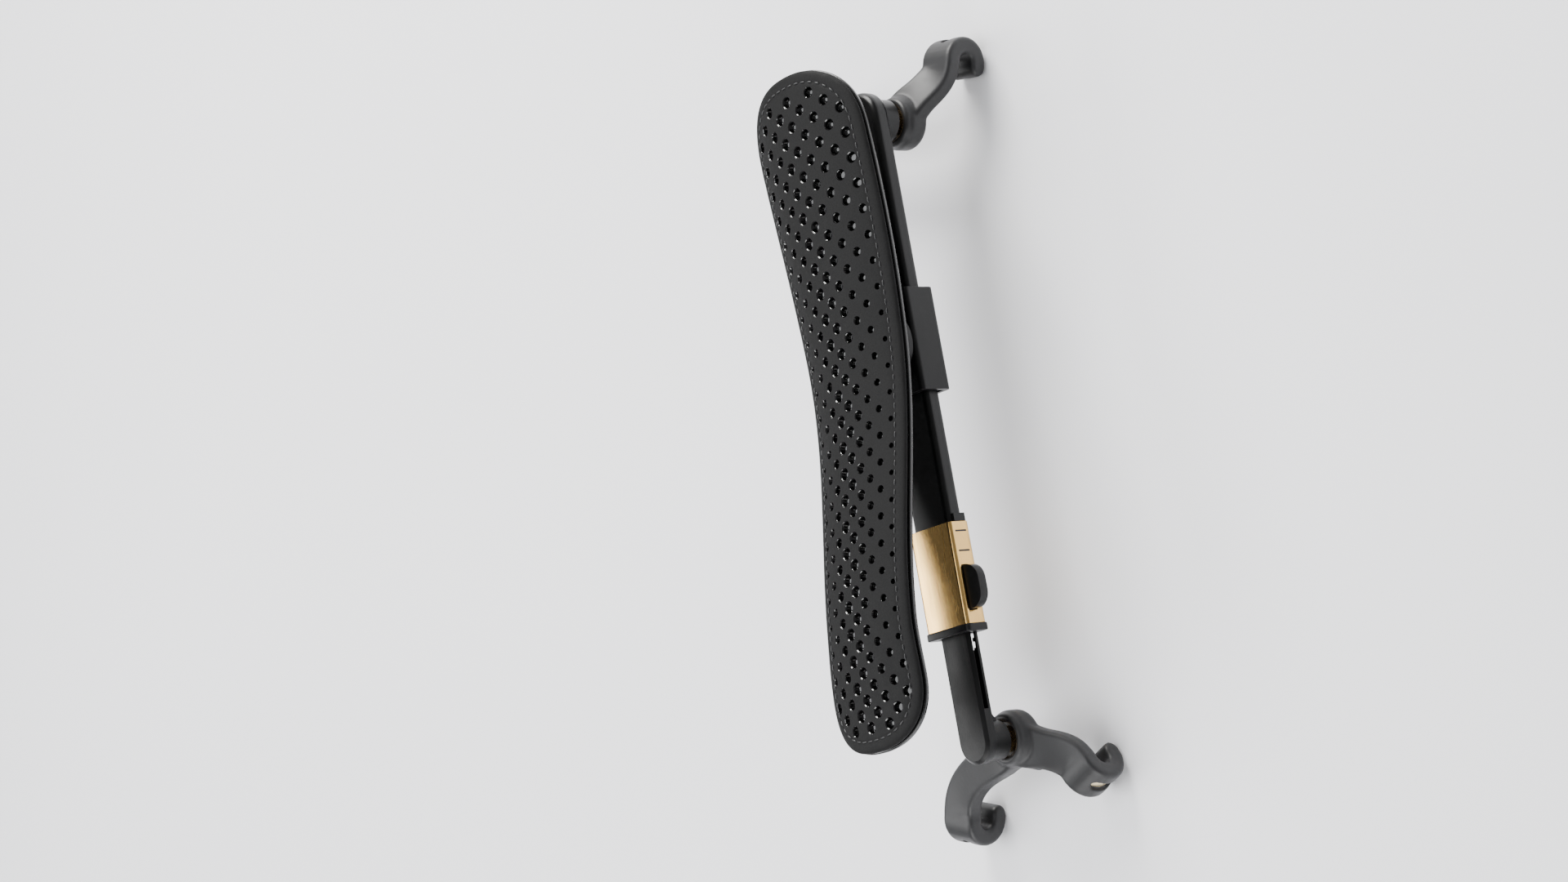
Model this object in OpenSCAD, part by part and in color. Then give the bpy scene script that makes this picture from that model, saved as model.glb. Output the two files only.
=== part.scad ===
// Violin shoulder rest: a bar on two hooked forks, with a sliding padded plate.
// Frame: X along the bar, Y towards the instrument's neck, Z up from the hooks' lowest point.

/* [Bar] */
// Distance between the two leg axes at rest
hub_spacing = 170; // [160:1:185]
// Width of the bar
bar_w = 15; // [14:0.5:17]
// Thickness of the bar
bar_t = 5.2; // [5:0.1:6]
// Height of the bar's middle plane above the hooks' lowest point
bar_mid_z = 32; // [31:0.5:36]
// Radius of the bar's long edges
bar_edge_r = 1.8; // [1:0.1:2.2]

/* [Sleeve and lock] */
// Length of the brass sleeve
sleeve_len = 27; // [24:0.5:32]
// Wall thickness of the brass sleeve
sleeve_wall = 0.8; // [0.6:0.1:1.2]
// Length of the lock button along the bar
button_len = 11.5; // [9:0.5:14]
// How far the lock button stands out of the sleeve
button_out = 5.4; // [3:0.2:6]
// Travel of the lock button
button_travel = 1.8; // [1:0.1:2]

/* [Extension arm] */
// Width of the arm
arm_w = 11.5; // [10:0.5:12]
// Thickness of the arm
arm_t = 3.3; // [3:0.1:3.4]
// How far the arm pulls out from rest
arm_out = 15; // [8:1:15]
// How far the arm pushes in from rest
arm_in = 14; // [8:1:14]

/* [Legs] */
// Radius of the brass leg stud
stud_r = 2.5; // [2:0.1:3]
// Height of the underside of the leg bosses
boss_z = 24.8; // [24:0.1:26]
// Radius of a fork's hub
hub_r = 7.4; // [7:0.1:9]
// Height of the top of a fork's hub
hub_top_z = 22.6; // [22:0.1:23]
// Height of the underside of a fork's hub
hub_low_z = 15.4; // [14:0.1:16]
// Turn of the upper fork at rest
upper_turn = 11.9; // [-20:0.1:30]

/* [Hooks] */
// Width of a hook along the instrument's edge
hook_w = 11.5; // [9:0.5:13]
// Outer radius of a hook's nose
nose_r = 7.1; // [6.8:0.1:8]
// Height of the gap that grips the edge of the instrument's back
grip_gap = 4.6; // [4.2:0.1:5.5]
// Height of the underside of that gap
grip_low_z = 4.7; // [4.4:0.1:5]

/* [Pad] */
// Offset of the pad's centre line from the bar's
pad_offset = 5.6; // [4:0.1:10]
// Width of the pad at the shoulder end
pad_w_wide = 45.6; // [42:0.1:50]
// Width of the pad at the chest end
pad_w_slim = 35.2; // [32:0.1:42]
// Height of the pad's surface at its lowest station
pad_top_z = 49.8; // [49:0.1:52]
// Rise of the pad towards the chest end
pad_rise = 10.5; // [6:0.1:14]
// Thickness of the leather
leather_t = 1.4; // [1:0.1:1.8]
// Thickness of the foam at the middle of the pad
foam_t = 2.4; // [1.8:0.1:2.6]
// Thickness of the plate under the foam
plate_t = 1.8; // [1.5:0.1:2]

/* [Hidden] */
$fn = 64;

black = [0.08, 0.08, 0.09];
brass = [0.86, 0.68, 0.36];
steel = [0.7, 0.71, 0.73];
nylon = [0.2, 0.2, 0.21];

fit = 0.05;          // radial clearance of a running fit
slide = 0.15;        // clearance round a sliding part
layer_gap = 0.1;     // gap between the pad's layers
far = 300;           // longer than the whole part
under = 6;           // depth level that lies below everything

// Places along and across the bar
frame_x = 2.25;                           // middle of the two legs
bar_y = -11.2;                            // the bar's centre line
upper_x = frame_x + hub_spacing / 2;      // upper leg's axis
lower_x = frame_x - hub_spacing / 2;      // lower leg's axis
bar_low_z = bar_mid_z - bar_t / 2;
bar_top_z = bar_mid_z + bar_t / 2;

// Sleeve, liner and end cap
sleeve_x1 = lower_x + 57.2;               // edge nearest the upper leg
sleeve_x0 = sleeve_x1 - sleeve_len;
sleeve_w = bar_w + 0.2 + 2 * sleeve_wall;
sleeve_t = bar_t + 0.2 + 2 * sleeve_wall;
sleeve_edge_r = 1.4;
bar_x0 = sleeve_x1 - 8;                   // the bar's end inside the sleeve
cap_t = 2;
cap_x0 = sleeve_x0 - cap_t;
tab_len = 2.2;                            // shoulder that the sleeve butts against
tab_h = 4.6;

// Arm, its channel, its rack and the cavity that it slides in
arm_x1 = sleeve_x1 + 15.8;                // inner end
cavity_x1 = arm_x1 + arm_in + 6;
cavity_w = arm_w + 2 * slide;
cavity_t = arm_t + 2 * fit + 0.1;
arm_low_z = bar_mid_z - arm_t / 2;
arm_chamfer = 0.9;
channel_h = 1.5;
channel_depth = 4.6;
channel_z0 = arm_low_z + 0.8;
channel_x0 = lower_x + 8;
rack_y0 = -4.3;                           // outer side of the rack slot, from the bar's line
rack_w = 3;
rack_pitch = 2.65;
rack_notch = 0.7;
stop_pin_r = 1.2;
stop_pin_x = arm_x1 - 3.2;
gusset_len = 11;                          // from the leg's axis

// Lock button and its springs
button_x = lower_x + 39.6;
button_t = 2.6;
button_z0 = channel_z0 + 0.1;
button_y1 = -(sleeve_w / 2) + 0.15;       // the tab's inner edge
button_y0 = -(sleeve_w / 2) - button_out; // the tab's outer edge
tongue_w = 6;
tongue_t = channel_h - 0.2;
tongue_y1 = -3.2;
pawl_len = 1.4;
pawl_y0 = -4.1;
pawl_w = 0.7;
pawl_stem = 0.7;                          // depth of the pawl's seat in the tongue
ledge_y = button_y1 + button_travel + fit; // ledge in the liner that the springs push on
spring_r = 0.8;
spring_wire_r = 0.13;
spring_turns = 7;
spring_step = 4.1;                        // each spring's distance from the button's middle
spring_y0 = button_y1 - 2.85;
spring_y1 = ledge_y - fit;

// Legs
insert_r = 4;
boss_r = 5.25;
upper_boss_r = 6;
insert_top_z = bar_mid_z + 1;
stud_top_z = insert_top_z - 1.2;
recess_r = 4.9;
recess_z = hub_top_z - 1.4;
collar_r = 3.6;
collar_top_z = recess_z + 2.2;
core_z0 = 17.7;
core_t = 1.5;
core_hub_r = 5.4;
clip_z0 = 16.6;
clip_t = 0.8;

// Each prong: where its hook grips, from the hub (outwards, towards +Y), and the hook's direction
short_at = [11.6, -15.2];
short_face = -24.7;
long_at = [18.8, 34.4];
long_face = 15.5;
jaw_low_z = grip_low_z + grip_gap;
jaw_top_z = jaw_low_z + 4.9;              // top of a hook's upper jaw
jaw_len = 9;
lip_len = 4.85;
nose_n = -1.2;                            // nose centre from the grip's end wall
window_w = 9.5;
window_h = 2.2;
window_z = 10;
plate_n = [1.2, 4.3];                     // the core's plate behind a window, from the end wall
strap_z = [10.8, 12.2];                   // the core's strap in the upper jaw
strap_w = 5.6;
prong_w = [6.6, 5.1, 4.6];                // half width of a prong at the hub, the waist and the hook

// Slider clamp, pivot and swivel head
clamp_x = upper_x - 63.4;
clamp_len = 28;
liner_t = 0.6;
clamp_wall = 1.5;
clamp_hole_w = bar_w + 2 * fit + 0.1;
clamp_hole_t = bar_t + 2 * fit + 0.1;
clamp_w = clamp_hole_w + 2 * (liner_t + clamp_wall);
clamp_low_z = bar_mid_z - clamp_hole_t / 2 - liner_t - clamp_wall;
clamp_top_z = 37.4;
liner_top_z = bar_mid_z + clamp_hole_t / 2 + liner_t;
clamp_screw_r = 1.5;
clamp_knob_r = 3.6;
clamp_knob_y0 = clamp_w / 2 + 0.4;
pin_r = 2.5;
pin_flange_r = 4.5;
pin_flange_t = 0.9;
washer_t = 0.25;
head_z0 = clamp_top_z + 0.3;
head_r = 9.5;
head_y1 = 17;                             // far end of the head from the pivot
bush_r = 3.8;
bush_top_z = head_z0 + 3.4;
rivet_r = 3.5;
rivet_t = 0.8;
head_screw_r = 1;
head_screw_head_r = 1.8;
head_screw_low_z = head_z0 + 3.2;
head_screw_top_z = head_z0 + 7.3;

// Pad: a lofted plate whose outline, height and crown follow these rules
pad_x0 = upper_x - 169.3;
pad_x1 = upper_x + 17.2;
pad_y = bar_y + pad_offset;
low_x = upper_x - 61.2;                    // station where the pad is lowest
chest_x = upper_x - 150.5;                 // station where the rise ends
crown = 0.0098;                           // drop per square of the distance from the middle
end_len = [17, 21];                       // length of the rounded chest and shoulder ends
end_power = 2.4;
pad_rows = 46;
pad_cols = 12;

function clamp01(v) = min(1, max(0, v));
// A smooth step from 0 to 1
function ease(v) = (1 - cos(180 * clamp01(v))) / 2;
// Height of the pad's middle at x
function pad_mid_z(x) = pad_top_z
    + pad_rise * ease((low_x - x) / (low_x - chest_x))
    + 2.3 * ease((x - low_x) / 75);
// Full width of the pad at x, before its ends are rounded
function pad_width(x) = pad_w_wide
    - (pad_w_wide - pad_w_slim) * ease((upper_x - 6 - x) / 124)
    + 2 * ease((chest_x + 16 - x) / 20);
// How much of the width is left at x, from the rounding of the ends
function end_round(x, inset) =
    let (a = clamp01((pad_x0 + inset + end_len[0] - x) / end_len[0]),
         b = clamp01((x - pad_x1 + inset + end_len[1]) / end_len[1]),
         u = max(a, b))
    pow(max(0, 1 - pow(u, end_power)), 1 / end_power);
function half_width(x, inset) = max(1.2, (pad_width(x) / 2 - inset) * end_round(x, inset));
// Stations along the pad, closer together at its ends
function station(i, inset) =
    let (v = i / pad_rows, w = v - 0.13 * sin(360 * v))
    pad_x0 + inset + (pad_x1 - pad_x0 - 2 * inset) * w;
// Height of the pad's upper surface
function pad_z(x, y) = pad_mid_z(x) - crown * pow(y - pad_y, 2);
// Depth of each layer's face below the upper surface; t is -1 to 1 across the pad
function foam_depth(t) = 0.3 + (foam_t - 0.3) * (1 - t * t);
function depth(level, t) =
    level == 0 ? 0 :
    level == 1 ? leather_t :
    level == 2 ? leather_t + layer_gap :
    level == 3 ? leather_t + layer_gap + foam_depth(t) :
    level == 4 ? leather_t + 2 * layer_gap + foam_depth(t) :
    leather_t + 2 * layer_gap + foam_depth(t) + plate_t + (level == under ? -30 : 0);

// One face of a pad layer as rows of points
function pad_face(level, inset) = [
    for (i = [0 : pad_rows])
        for (j = [0 : pad_cols])
            let (x = station(i, inset), h = half_width(x, inset), t = -cos(180 * j / pad_cols),
                 y = pad_y + t * h, full = half_width(x, 0))
            [x, y, pad_z(x, y) - depth(level, t * h / full)]
];

// A closed layer between two levels of the pad
module pad_layer(upper, lower, inset) {
    n = pad_cols + 1;
    count = n * (pad_rows + 1);
    points = concat(pad_face(upper, inset), pad_face(lower, inset));
    top = [
        for (i = [0 : pad_rows - 1])
            for (j = [0 : pad_cols - 1])
                for (f = [[0, 1, n + 1], [0, n + 1, n]])
                    [for (k = f) i * n + j + k]
    ];
    bottom = [for (f = top) [f[0] + count, f[2] + count, f[1] + count]];
    sides = [
        for (i = [0 : pad_rows - 1])
            for (j = [0, pad_cols])
                let (a = i * n + j, b = a + n, flip = j == 0)
                for (f = [[a, b, b + count], [a, b + count, a + count]])
                    flip ? f : [f[0], f[2], f[1]]
    ];
    ends = [
        for (i = [0, pad_rows])
            for (j = [0 : pad_cols - 1])
                let (a = i * n + j, b = a + 1, flip = i == 0)
                for (f = [[b, a, a + count], [b, a + count, b + count]])
                    flip ? f : [f[0], f[2], f[1]]
    ];
    polyhedron(points, concat(top, bottom, sides, ends), 4);
}

// Rectangle with round corners, centred
module round_rect(w, h, r) {
    square([w - 2 * r, h], center = true);
    square([w, h - 2 * r], center = true);
    for (x = [-1, 1], y = [-1, 1]) {
        translate([x * (w / 2 - r), y * (h / 2 - r)]) circle(r = r);
    }
}

// Extrudes a section drawn in Y and Z along the bar, from x0 to x1
module along_bar(x0, x1) {
    translate([x0, bar_y, bar_mid_z])
        rotate([90, 0, 90])
            linear_extrude(height = x1 - x0) children();
}

// The full-round end of a bar: half of its section turned about the leg's axis
module round_end(x) {
    translate([x, bar_y, bar_mid_z]) rotate_extrude() intersection() {
        children();
        translate([0, -bar_w]) square(2 * bar_w);
    }
}

// A box given by its limits, with Y measured from the bar's line
module bar_box(x, y, z) {
    translate([x[0], bar_y + y[0], z[0]]) cube([x[1] - x[0], y[1] - y[0], z[1] - z[0]]);
}

// Upright cylinder between two heights, with Y measured from the bar's line
module post(x, y, z0, z1, r) {
    translate([x, bar_y + y, z0]) cylinder(r = r, h = z1 - z0);
}

module main_bar() {
    color(black) difference() {
        union() {
            along_bar(bar_x0, upper_x) round_rect(bar_w, bar_t, bar_edge_r);
            round_end(upper_x) round_rect(bar_w, bar_t, bar_edge_r);
            post(upper_x, 0, boss_z, bar_mid_z, upper_boss_r);
            bar_box([sleeve_x1, sleeve_x1 + tab_len], [-sleeve_w / 2, -bar_w / 2 + 1],
                    [bar_mid_z - tab_h / 2, bar_mid_z + tab_h / 2 - 0.8]);
        }
        along_bar(bar_x0 - 1, cavity_x1) square([cavity_w, cavity_t], center = true);
        post(upper_x, 0, boss_z - 1, insert_top_z, insert_r);
        bar_box([stop_pin_x - arm_out - stop_pin_r - 0.3, stop_pin_x + arm_in + stop_pin_r + 0.3],
                [-stop_pin_r - 0.15, stop_pin_r + 0.15], [bar_low_z - 1, bar_mid_z]);
    }
}

module insert(x) {
    color(brass) difference() {
        post(x, 0, boss_z, insert_top_z, insert_r);
        post(x, 0, boss_z - 1, insert_top_z + 1, stud_r + fit);
    }
}

module upper_insert() {
    insert(upper_x);
}

module lower_insert() {
    insert(lower_x);
}

// Opening for the button's tab through a wall on the bar's tail side
module button_slot(y0, y1) {
    bar_box([button_x - button_len / 2 - 0.25, button_x + button_len / 2 + 0.25], [y0, y1],
            [button_z0 - 0.15, button_z0 + button_t + 0.15]);
}

module brass_sleeve() {
    color(brass) difference() {
        along_bar(sleeve_x0, sleeve_x1) round_rect(sleeve_w, sleeve_t, sleeve_edge_r);
        along_bar(sleeve_x0 - 1, sleeve_x1 + 1)
            round_rect(bar_w + 0.2, bar_t + 0.2, sleeve_edge_r - sleeve_wall);
        button_slot(-sleeve_w / 2 - 1, -bar_w / 2);
    }
}

module sleeve_liner() {
    color(black) difference() {
        along_bar(sleeve_x0, bar_x0 - 0.1) round_rect(bar_w, bar_t, sleeve_edge_r - sleeve_wall);
        along_bar(sleeve_x0 - 1, bar_x0 + 1) square([cavity_w, cavity_t], center = true);
        button_slot(-bar_w / 2 - 1, ledge_y);
        bar_box([button_x - tongue_w / 2 - 0.15, button_x + tongue_w / 2 + 0.15],
                [-bar_w / 2 - 1, -cavity_w / 2 + 1], [button_z0 - 0.08, button_z0 + tongue_t + 0.1]);
    }
}

module sleeve_end_cap() {
    color(black) difference() {
        along_bar(cap_x0, sleeve_x0) round_rect(sleeve_w + 0.6, sleeve_t + 0.6, sleeve_edge_r);
        along_bar(cap_x0 - 1, sleeve_x0 + 1) square([cavity_w, cavity_t], center = true);
    }
}

module lock_button() {
    color(black) difference() {
        union() {
            intersection() {
                translate([button_x, bar_y + button_y1, button_z0])
                    linear_extrude(height = button_t) d_tab(button_len, button_y1 - button_y0);
                bar_box([button_x - far, button_x + far], [button_y0, button_y1], [0, far]);
            }
            bar_box([button_x - tongue_w / 2, button_x + tongue_w / 2], [button_y1 - 1, tongue_y1],
                    [button_z0, button_z0 + tongue_t]);
        }
        for (s = [-1, 1]) {
            translate([button_x + s * spring_step, bar_y + spring_y0 - 0.1, button_z0 + button_t / 2])
                rotate([-90, 0, 0]) cylinder(r = spring_r + 0.1, h = far);
        }
        bar_box([button_x - pawl_len / 2, button_x + pawl_len / 2], [pawl_y0, pawl_y0 + pawl_w],
                [button_z0 - 1, button_z0 + pawl_stem]);
    }
}

// Outline of the thumb tab: a straight inner edge and two round corners outside
module d_tab(len, out) {
    r = out * 0.75;
    translate([-len / 2, -(out - r)]) square([len, out - r]);
    translate([-len / 2 + r, -out]) square([len - 2 * r, out]);
    for (s = [-1, 1]) {
        translate([s * (len / 2 - r), -(out - r)]) circle(r = r);
    }
}

// Steel tooth seated in the underside of the button's tongue
module lock_pawl() {
    color(steel)
        bar_box([button_x - pawl_len / 2, button_x + pawl_len / 2], [pawl_y0, pawl_y0 + pawl_w],
                [arm_low_z + 0.1, button_z0 + pawl_stem]);
}

// A helical spring along +Y from y0 to y1, swept with a six-sided wire
module coil_y(y0, y1, r, wire_r, turns) {
    sides = 6;
    steps = 10 * turns;
    length = y1 - y0 - 2 * wire_r;
    points = [
        for (i = [0 : steps])
            for (k = [0 : sides - 1])
                let (turn = 360 * turns * i / steps, w = 360 * k / sides,
                     q = r - wire_r + wire_r * cos(w))
                [q * cos(turn), y0 + wire_r + length * i / steps + wire_r * sin(w), q * sin(turn)]
    ];
    skin = [
        for (i = [0 : steps - 1])
            for (k = [0 : sides - 1])
                let (a = i * sides + k, b = i * sides + (k + 1) % sides)
                for (f = [[a, b, b + sides], [a, b + sides, a + sides]]) f
    ];
    first = [[for (k = [sides - 1 : -1 : 0]) k]];
    last = [[for (k = [0 : sides - 1]) steps * sides + k]];
    polyhedron(points, concat(skin, first, last), 4);
}

module button_springs() {
    color(steel) for (s = [-1, 1]) {
        translate([button_x + s * spring_step, bar_y, button_z0 + button_t / 2])
            coil_y(spring_y0, spring_y1, spring_r, spring_wire_r, spring_turns);
    }
}

// The arm's section: two chamfers on top
module arm_section() {
    w = arm_w / 2;
    h = arm_t / 2;
    polygon([[-w, -h], [w, -h], [w, h - arm_chamfer], [w - arm_chamfer, h],
             [-w + arm_chamfer, h], [-w, h - arm_chamfer]]);
}

module extension_arm() {
    color(black) difference() {
        union() {
            along_bar(lower_x, arm_x1) arm_section();
            round_end(lower_x) arm_section();
            post(lower_x, 0, boss_z, bar_mid_z, boss_r);
            translate([lower_x, bar_y + 2, 0]) rotate([90, 0, 0])
                linear_extrude(height = 4)
                    polygon([[0, bar_mid_z - 1], [gusset_len, bar_mid_z - 1], [gusset_len, arm_low_z - 0.4],
                             [boss_r, boss_z + 1], [0, boss_z + 1]]);
        }
        bar_box([channel_x0, arm_x1 + 1], [-arm_w / 2 - 1, -arm_w / 2 + channel_depth],
                [channel_z0, channel_z0 + channel_h]);
        rack();
        post(lower_x, 0, boss_z - 1, insert_top_z, insert_r);
        post(stop_pin_x, 0, 0, far, stop_pin_r - 0.4);
    }
}

// Slot in the arm's lower flange, with a row of notches for the pawl along its outer side
module rack() {
    x0 = button_x - arm_in - 2;
    x1 = button_x + arm_out + 2;
    bar_box([x0, x1], [rack_y0, rack_y0 + rack_w], [0, channel_z0 + 0.1]);
    for (x = [x0 + rack_pitch / 2 : rack_pitch : x1 - rack_pitch / 2]) {
        bar_box([x - 0.8, x + 0.8], [rack_y0 - rack_notch, rack_y0 + 0.1], [0, channel_z0 + 0.1]);
    }
}

module arm_stop_pin() {
    color(steel) {
        post(stop_pin_x, 0, arm_low_z, arm_low_z + arm_t - 0.1, stop_pin_r - 0.4);
        post(stop_pin_x, 0, bar_low_z + 0.2, arm_low_z, stop_pin_r);
    }
}

// Brass stud: threaded shank, collar in the hub's recess, and the journal that the fork turns on
module stud(x) {
    color(brass) union() {
        post(x, 0, collar_top_z - 0.1, stud_top_z, stud_r);
        post(x, 0, recess_z + fit, collar_top_z, collar_r);
        difference() {
            post(x, 0, clip_z0 - 0.6, recess_z + 0.2, stud_r);
            translate([x, bar_y, clip_z0 - fit]) rotate_extrude()
                translate([stud_r - 0.5, 0]) square([1, clip_t + 2 * fit]);
        }
    }
}

module upper_stud() {
    stud(upper_x);
}

module lower_stud() {
    stud(lower_x);
}

// Puts a fork's shape at its leg. Its own +X points outwards along the bar
module at_upper_leg() {
    translate([upper_x, bar_y, 0]) rotate([0, 0, upper_turn]) children();
}

module at_lower_leg() {
    translate([lower_x, bar_y, 0]) mirror([1, 0, 0]) children();
}

// Side view of a hook: n points out of the grip, with the end wall at 0
module hook_profile() {
    gap_r = grip_gap / 2;
    lip_r = grip_low_z / 2;
    difference() {
        union() {
            intersection() {
                translate([nose_n, nose_r]) circle(r = nose_r);
                translate([nose_n, 0]) square([nose_r + 1, 2 * nose_r]);
            }
            translate([-jaw_len, nose_r]) square([jaw_len + nose_n + 0.1, jaw_top_z - nose_r]);
            translate([-lip_len + lip_r, 0]) square([lip_len - lip_r + nose_n + 0.1, nose_r]);
            translate([-lip_len + lip_r, lip_r]) circle(r = lip_r);
        }
        translate([-far, grip_low_z]) square([far - gap_r, grip_gap]);
        translate([-gap_r, grip_low_z + gap_r]) circle(r = gap_r);
    }
}

// Extrudes a side view along the edge of the instrument, centred on the prong
module across(w) {
    rotate([90, 0, 0]) translate([0, 0, -w / 2]) linear_extrude(height = w) children();
}

// Side view of a prong from the hub at 0 to its hook at distance r
module prong_profile(r) {
    top = hub_top_z - 0.6;
    polygon([[0, hub_low_z], [4, hub_low_z], [r - 4.6, jaw_low_z], [r - 2.5, jaw_low_z],
             [r - 2.5, jaw_top_z], [r - 4, jaw_top_z], [4, top], [0, top]]);
}

// Plan of a prong: it narrows from the hub and widens again to the hook
module prong_plan(r) {
    waist = min(9, r / 2);
    polygon([[0, -prong_w[0]], [waist, -prong_w[1]], [r - 4, -prong_w[1]], [r - 2.5, -prong_w[2]],
             [r - 2.5, prong_w[2]], [r - 4, prong_w[1]], [waist, prong_w[1]], [0, prong_w[0]]]);
}

module prong(at) {
    r = norm(at);
    rotate([0, 0, atan2(at[1], at[0])]) intersection() {
        across(2 * hub_r) prong_profile(r);
        linear_extrude(height = far) prong_plan(r);
    }
}

module hook(at, face) {
    translate([at[0], at[1], 0]) rotate([0, 0, face]) across(hook_w) hook_profile();
}

// Window in a hook's nose that shows the metal core
module hook_window(at, face) {
    translate([at[0], at[1], window_z]) rotate([0, 0, face])
        translate([plate_n[1], -window_w / 2, -window_h / 2]) cube([nose_r, window_w, window_h]);
}

// The metal core of one prong: a strip inside the prong and a plate behind the window
module core_prong(at, face) {
    r = norm(at);
    root_z = [core_z0 + 0.1, core_z0 + core_t - 0.1];
    plate = [plate_n[1] - plate_n[0], window_w + 0.6, window_h + 0.2];
    rotate([0, 0, atan2(at[1], at[0])]) across(strap_w)
        polygon([[0, root_z[0]], [4.2, root_z[0]], [r - 4.2, strap_z[0]], [r - 1.4, strap_z[0]],
                 [r - 1.4, strap_z[1]], [r - 3.8, strap_z[1]], [4.6, root_z[1]], [0, root_z[1]]]);
    translate([at[0], at[1], 0]) rotate([0, 0, face]) {
        translate([-3.6, -strap_w / 2 + 0.2, strap_z[0] + 0.1])
            cube([6, strap_w - 0.4, strap_z[1] - strap_z[0] - 0.2]);
        translate([plate_n[0], -plate[1] / 2, window_z - plate[2] / 2]) cube(plate);
    }
}

module fork_core() {
    difference() {
        union() {
            translate([0, 0, core_z0]) cylinder(r = core_hub_r, h = core_t);
            core_prong(short_at, short_face);
            core_prong(long_at, long_face);
        }
        translate([0, 0, -1]) cylinder(r = stud_r + fit, h = far);
    }
}

module fork_grip() {
    difference() {
        union() {
            translate([0, 0, hub_low_z]) cylinder(r = hub_r, h = hub_top_z - hub_low_z);
            prong(short_at);
            prong(long_at);
            hook(short_at, short_face);
            hook(long_at, long_face);
        }
        translate([0, 0, recess_z]) cylinder(r = recess_r, h = far);
        translate([0, 0, -1]) cylinder(r = stud_r + 2 * fit, h = far);
        translate([0, 0, -1]) cylinder(r = recess_r, h = core_z0 - 0.2 + 1);
        hook_window(short_at, short_face);
        hook_window(long_at, long_face);
        core_prong(short_at, short_face);
        core_prong(long_at, long_face);
        translate([0, 0, core_z0]) cylinder(r = core_hub_r, h = core_t);
    }
}

// Clip in the stud's groove, under the hub
module fork_clip(x) {
    color(steel) difference() {
        post(x, 0, clip_z0, clip_z0 + clip_t, 4.3);
        post(x, 0, clip_z0 - 1, clip_z0 + clip_t + 1, stud_r - 0.5 + fit);
        bar_box([x, x + 6], [-1.2, 1.2], [clip_z0 - 1, clip_z0 + 2]);
    }
}

module upper_fork_core() {
    color(brass) at_upper_leg() fork_core();
}

module lower_fork_core() {
    color(brass) at_lower_leg() fork_core();
}

module upper_fork_grip() {
    color(black) at_upper_leg() fork_grip();
}

module lower_fork_grip() {
    color(black) at_lower_leg() fork_grip();
}

module upper_fork_clip() {
    fork_clip(upper_x);
}

module lower_fork_clip() {
    fork_clip(lower_x);
}

module slider_clamp() {
    middle_z = (clamp_low_z + clamp_top_z) / 2;
    color(black) difference() {
        translate([0, 0, middle_z - bar_mid_z])
            along_bar(clamp_x - clamp_len / 2, clamp_x + clamp_len / 2)
                round_rect(clamp_w, clamp_top_z - clamp_low_z, 1.6);
        along_bar(clamp_x - far, clamp_x + far)
            square([clamp_hole_w + 2 * liner_t, clamp_hole_t + 2 * liner_t], center = true);
        post(clamp_x, 0, liner_top_z - 1, liner_top_z + pin_flange_t, pin_flange_r + fit);
        post(clamp_x, 0, liner_top_z, far, pin_r);
        translate([clamp_x, bar_y, bar_mid_z]) rotate([-90, 0, 0]) cylinder(r = clamp_screw_r + fit, h = far);
    }
}

module clamp_liner() {
    color(nylon) difference() {
        along_bar(clamp_x - clamp_len / 2 + 0.5, clamp_x + clamp_len / 2 - 0.5)
            square([clamp_hole_w + 2 * liner_t, clamp_hole_t + 2 * liner_t], center = true);
        along_bar(clamp_x - far, clamp_x + far) square([clamp_hole_w, clamp_hole_t], center = true);
        translate([clamp_x, bar_y, bar_mid_z]) rotate([-90, 0, 0]) cylinder(r = clamp_screw_r + fit, h = far);
    }
}

module clamp_screw() {
    color(brass) translate([clamp_x, bar_y, bar_mid_z]) rotate([-90, 0, 0]) {
        translate([0, 0, bar_w / 2 + 0.1]) cylinder(r = clamp_screw_r, h = clamp_knob_y0 - bar_w / 2);
        translate([0, 0, clamp_knob_y0]) cylinder(r = clamp_knob_r, h = 3.2);
        translate([0, 0, clamp_knob_y0 + 3.1]) cylinder(r = clamp_knob_r - 0.8, h = 0.7);
    }
}

module pivot_pin() {
    color(steel) {
        post(clamp_x, 0, liner_top_z + 0.05, liner_top_z + pin_flange_t, pin_flange_r);
        post(clamp_x, 0, liner_top_z + pin_flange_t, bush_top_z + fit, pin_r);
        post(clamp_x, 0, bush_top_z + fit, bush_top_z + fit + rivet_t, rivet_r);
    }
}

module pivot_washer() {
    color(steel) difference() {
        post(clamp_x, 0, clamp_top_z, clamp_top_z + washer_t, 6.5);
        post(clamp_x, 0, clamp_top_z - 1, clamp_top_z + 1, pin_r + fit);
    }
}

// Block that carries the pad; its upper side follows the plate's underside
module swivel_head() {
    color(black) difference() {
        union() {
            post(clamp_x, 0, head_z0, pad_top_z - 3, head_r);
            post(clamp_x, head_y1 - 8, head_z0, pad_top_z - 3, 8);
            bar_box([clamp_x - 8, clamp_x + 8], [0, head_y1 - 8], [head_z0, pad_top_z - 3]);
        }
        pad_layer(under, 5, 0);
        post(clamp_x, 0, head_z0 - 1, far, bush_r);
        at_head_screws() translate([0, 0, head_z0 - 1]) cylinder(r = head_screw_r, h = far);
        at_head_screws() translate([0, 0, head_z0 - 1]) 
            cylinder(r = head_screw_head_r + 0.1, h = head_screw_low_z + 1 - head_z0);
    }
}

module pivot_bush() {
    color(brass) difference() {
        post(clamp_x, 0, head_z0, bush_top_z, bush_r);
        post(clamp_x, 0, head_z0 - 1, bush_top_z + 1, pin_r + fit);
    }
}

module at_head_screws() {
    for (s = [[-5.6, 7.6], [5.6, 7.6], [0.3, 13.4]]) {
        translate([clamp_x + s[0], bar_y + s[1], 0]) children();
    }
}

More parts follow.
